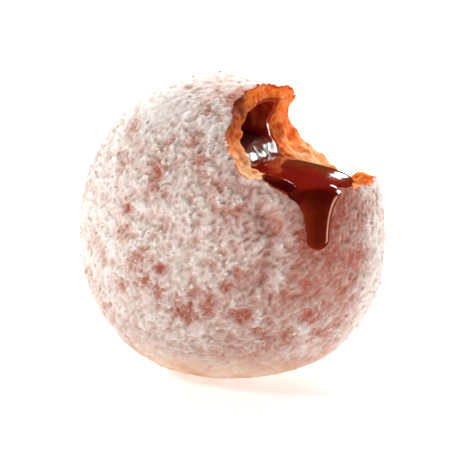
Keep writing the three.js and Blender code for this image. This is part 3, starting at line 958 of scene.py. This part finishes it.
# Painted light: browner where the skin faces up, out in the bite.
lit_colour = ramp(tree, lit_here, (0.0, "#4c0605"), (0.3, "#7e1308"), (1.0, "#7c3213"))
lit_share = calc(tree, "MULTIPLY", lit_here, 4.0, clamp=True)
coat_here = add(tree, "Attribute", attribute_name="coat_in_hollow").outputs["Fac"]
# The coat is painted brighter than jelly of its thickness, as light in the shaded hollow.
coat_colour = ramp(tree, coat_here, (0.0, "#930f08"), (0.5, "#b02c14"), (1.0, "#dc6a30"))
on_wall = calc(tree, "GREATER_THAN", coat_here, 0.001)
jelly_colour = mixed(tree, on_wall, mixed(tree, lit_share, depth_colour, lit_colour), coat_colour)
smeared_here = add(tree, "Attribute", attribute_name="smeared").outputs["Fac"]
roughness = calc(tree, "MULTIPLY_ADD", smeared_here, 0.16, 0.09)
shader = add(tree, "BsdfPrincipled", {
    "Base Color": jelly_colour, "Roughness": roughness, "IOR": 1.42,
    "Subsurface Weight": 0.25, "Subsurface Radius": (1.0, 0.2, 0.08), "Subsurface Scale": 0.0015
})
add(tree, "OutputMaterial", {"Surface": shader.outputs[0]})

# %% Give each piece its material and body
CLUMP_POWDER = 0.8  # clumps are thick sugar, though not the whitest
dough.data.materials.clear()
dough.data.materials.append(crust)
dough.data.materials.append(crumb)
dough.data.polygons.foreach_set("material_index", torn_faces)
clump_spots = points_of(sugar)
paint(sugar, "powder", np.full(len(clump_spots), CLUMP_POWDER))
paint(sugar, "belly", np.zeros(len(clump_spots)))
sugar.data.materials.append(crust)
jelly.data.materials.clear()
jelly.data.materials.append(syrup)
for piece, node, slot in ((dough, "dough", "sugared_dough"), (jelly, "jelly_filling", "jelly"),
                          (sugar, None, "sugared_dough")):
    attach(piece, "root")
    if node:
        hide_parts(node)

# %% [markdown]
# ## Floor, light and camera
#
# A pale floor, a pale world that is brightest behind, and a soft light on the left that rakes
# across the sugar. One light over the bite only brightens, and doesn't show in the wet jelly.
# The others only show in it: a window at the right rear, a glint on the pool and the sheen
# beside the drip. Everything is placed by directions from the camera.

# %% Directions from the camera
AZIMUTH, ELEVATION = math.radians(18), math.radians(12)
to_camera = Vector((math.sin(AZIMUTH) * math.cos(ELEVATION),
                    -math.cos(AZIMUTH) * math.cos(ELEVATION), math.sin(ELEVATION)))
to_right = Vector((math.cos(AZIMUTH), math.sin(AZIMUTH), 0))
to_back = Vector((-math.sin(AZIMUTH), math.cos(AZIMUTH), 0))
centre = Vector((0, 0, CENTRE_HEIGHT * MM))

# %% Floor
FAR = 4  # metres each way
floor_mesh = bpy.data.meshes.new("floor")
floor_corners = [(-FAR, -FAR, 0), (FAR, -FAR, 0), (FAR, FAR, 0), (-FAR, FAR, 0)]
floor_mesh.from_pydata(floor_corners, [], [(0, 1, 2, 3)])
floor = bpy.data.objects.new("floor", floor_mesh)
bpy.context.scene.collection.objects.link(floor)
card, tree = new_material("white_card")
away = add(tree, "VectorMath", {0: add(tree, "TexCoord").outputs["Object"]}, operation="LENGTH")
glow = add(tree, "MapRange", {"Value": away.outputs["Value"], "From Min": 0.08, "From Max": 0.5,
                              "To Min": 0.45, "To Max": 1.0})
shader = add(tree, "BsdfPrincipled", {
    "Base Color": ramp(tree, grain_noise(tree, 20.0), (0.0, "#f4f4f4"), (1.0, "#f8f8f8")),
    "Roughness": 0.8, "Emission Color": "#ffffff", "Emission Strength": glow.outputs[0]
})
add(tree, "OutputMaterial", {"Surface": shader.outputs[0]})
floor_mesh.materials.append(card)
floor.visible_glossy = False  # or the wet jelly would mirror white

# %% World
# Wet skin mirrors a dim warm room, dull surfaces are lit from behind, and the camera sees white.
world = bpy.data.worlds.new("white_studio")
bpy.context.scene.world = world
world.use_nodes = True
tree = world.node_tree
tree.nodes.clear()
path = add(tree, "LightPath").outputs
direction = add(tree, "TexCoord").outputs["Generated"]
backwards = add(tree, "VectorMath", {0: direction, 1: tuple(to_back)}, operation="DOT_PRODUCT")
wrap = add(tree, "MapRange", {"Value": backwards.outputs["Value"], "From Min": -0.3,
                              "From Max": 0.8, "To Min": 0.06, "To Max": 1.7})
white = add(tree, "Background", {"Color": "#ffffff", "Strength": 1.05})
surround = add(tree, "Background", {"Color": "#ffffff", "Strength": wrap.outputs[0]})
dim = add(tree, "Background", {"Color": "#ffe0d0", "Strength": 0.012})
lit = add(tree, "MixShader", {0: path["Is Glossy Ray"], 1: surround.outputs[0], 2: dim.outputs[0]})
both = add(tree, "MixShader", {0: path["Is Camera Ray"], 1: lit.outputs[0], 2: white.outputs[0]})
add(tree, "OutputWorld", {"Surface": both.outputs[0]})


# %% Lights
def soft_light(name, direction, distance, width, height, watts, colour="#ffffff"):
    """A lit rectangle so many metres from the doughnut's centre, facing it."""
    data = bpy.data.lights.new(name, "AREA")
    data.shape, data.size, data.size_y = "RECTANGLE", width, height
    data.energy, data.color = watts, linear(colour)[:3]
    light = bpy.data.objects.new(name, data)
    light.location = centre + direction.normalized() * distance
    light.rotation_euler = (-direction).to_track_quat("-Z", "Y").to_euler()
    bpy.context.scene.collection.objects.link(light)
    return light


def toward(round_to_right, raised):
    """A direction, in degrees round from the camera to its right and up from level."""
    a, e = math.radians(round_to_right), math.radians(raised)
    level = math.sin(a) * to_right - math.cos(a) * to_back
    return math.cos(e) * level + Vector((0, 0, math.sin(e)))


soft_light("key_left", toward(-75, 35), 0.5, 0.12, 0.12, 1.12)
over = soft_light("over_the_bite", toward(146, 54), 0.5, 0.2, 0.2, 2.4)
over.visible_glossy = False
window = soft_light("window_at_right", toward(119, 19), 0.5, 0.31, 0.28, 4.4)
window.visible_diffuse = False
glint = soft_light("glint_on_pool", toward(163, 15), 0.5, 0.04, 0.05, 0.1)
glint.visible_diffuse = False
sheen = soft_light("box_beside_drip", toward(85, -6), 0.15, 0.05, 0.06, 0.11, "#ffb9a0")
sheen.visible_diffuse = False

# %% Camera
DISTANCE = 0.45
PICTURE = 453  # pixels each way
ASIDE, ABOVE = -5, 1.8  # pixels by which the view moves off the doughnut's centre
camera_data = bpy.data.cameras.new("camera")
camera_data.sensor_width = 36.0
camera_data.lens = 132.8
camera_data.shift_x, camera_data.shift_y = ASIDE / PICTURE, ABOVE / PICTURE
camera = bpy.data.objects.new("camera", camera_data)
camera.location = centre + DISTANCE * to_camera
camera.rotation_euler = (-to_camera).to_track_quat("-Z", "Y").to_euler()
bpy.context.scene.collection.objects.link(camera)
bpy.context.scene.camera = camera
bpy.context.scene.view_settings.view_transform = "Standard"

# %% Finish
bpy.context.view_layer.update()
